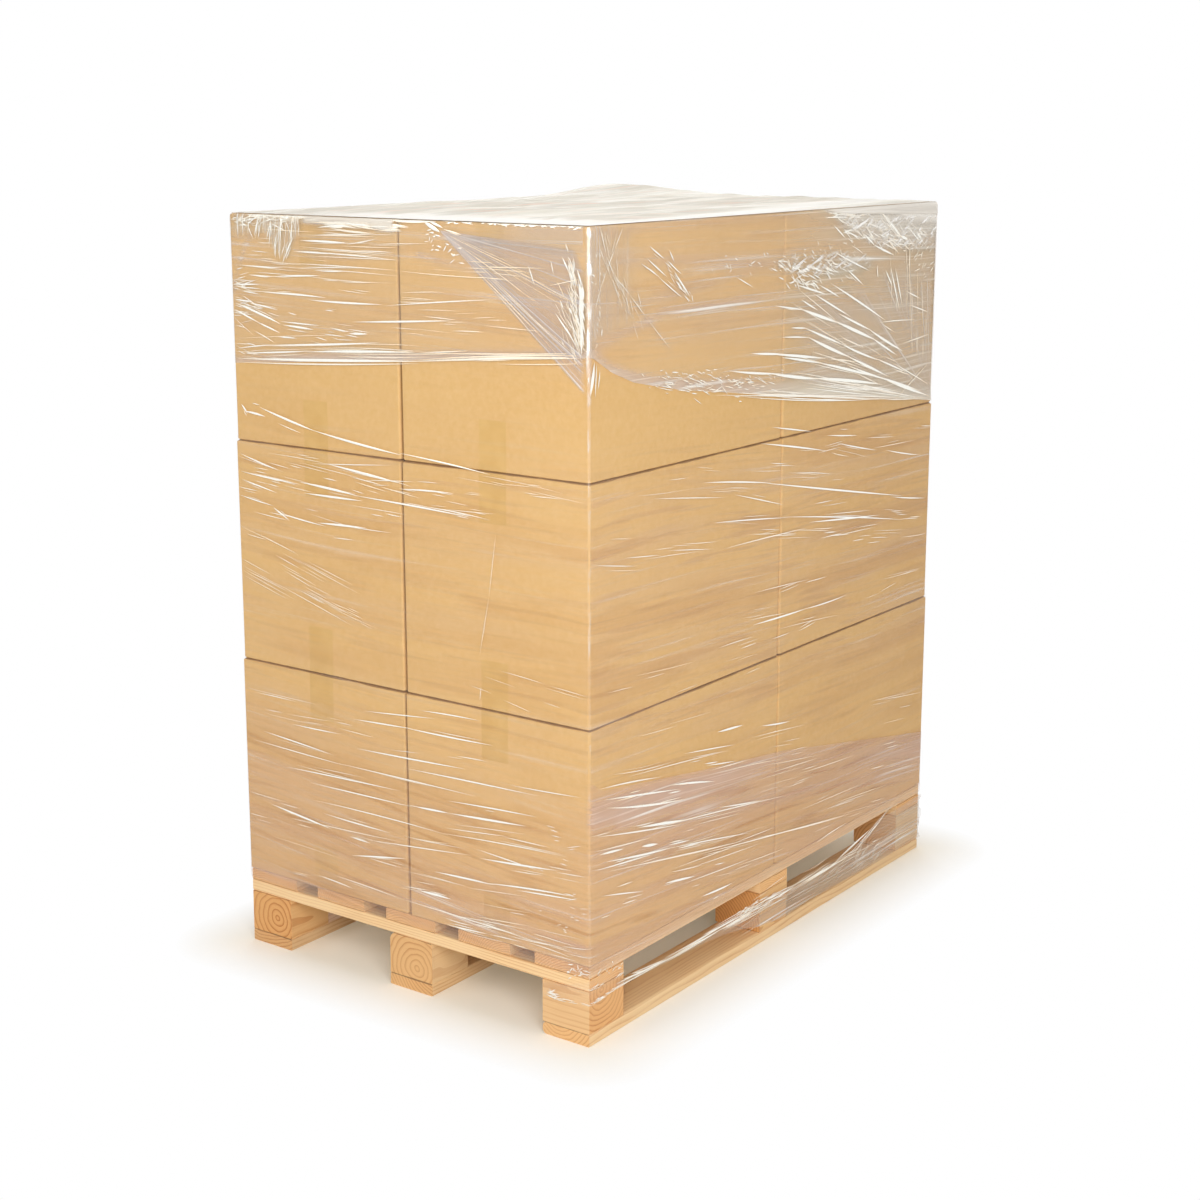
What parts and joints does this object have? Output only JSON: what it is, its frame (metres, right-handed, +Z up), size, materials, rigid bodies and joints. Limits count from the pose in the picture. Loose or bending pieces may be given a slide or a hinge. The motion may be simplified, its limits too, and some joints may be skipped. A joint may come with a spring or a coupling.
{
  "type": "shrink wrapped pallet load",
  "caption": "Wooden block pallet with closed cartons stacked in layers, held together by clear stretch film wound round the load and the edge of the deck.",
  "frame": {"origin": "middle of the load's footprint, on the floor", "axes": "+Z up, Y along the pallet's 1200 mm length, X across its 800 mm width"},
  "size_m": [0.8133, 1.2133, 1.3901],
  "materials": {
    "pine_board": "sawn, dry",
    "pine_block": "sawn, dry",
    "carton_board": "plain kraft",
    "packing_tape": "thin, satin",
    "stretch_film": "clear, glossy, stretched"
  },
  "bodies": {
    "root": {"deck_board_1": "pine_board", "deck_board_2": "pine_board", "deck_board_3": "pine_board", "deck_board_4": "pine_board", "deck_board_5": "pine_board", "cross_board_near": "pine_board", "block_near_left": "pine_block", "block_near_centre": "pine_block", "block_near_right": "pine_block", "cross_board_middle": "pine_board", "block_middle_left": "pine_block", "block_middle_centre": "pine_block", "block_middle_right": "pine_block", "cross_board_far": "pine_board", "block_far_left": "pine_block", "block_far_centre": "pine_block", "block_far_right": "pine_block", "bottom_board_left": "pine_board", "bottom_board_centre": "pine_board", "bottom_board_right": "pine_board", "carton_bottom_near_left": "carton_board", "tape_bottom_near_left": "packing_tape", "carton_bottom_near_right": "carton_board", "tape_bottom_near_right": "packing_tape", "carton_bottom_far_left": "carton_board", "tape_bottom_far_left": "packing_tape", "carton_bottom_far_right": "carton_board", "tape_bottom_far_right": "packing_tape", "carton_middle_near_left": "carton_board", "tape_middle_near_left": "packing_tape", "carton_middle_near_right": "carton_board", "tape_middle_near_right": "packing_tape", "carton_middle_far_left": "carton_board", "tape_middle_far_left": "packing_tape", "carton_middle_far_right": "carton_board", "tape_middle_far_right": "packing_tape", "carton_top_near_left": "carton_board", "tape_top_near_left": "packing_tape", "carton_top_near_right": "carton_board", "tape_top_near_right": "packing_tape", "carton_top_far_left": "carton_board", "tape_top_far_left": "packing_tape", "carton_top_far_right": "carton_board", "tape_top_far_right": "packing_tape", "film_wrap": "stretch_film", "film_tail": "stretch_film"}
  },
  "joints": []
}
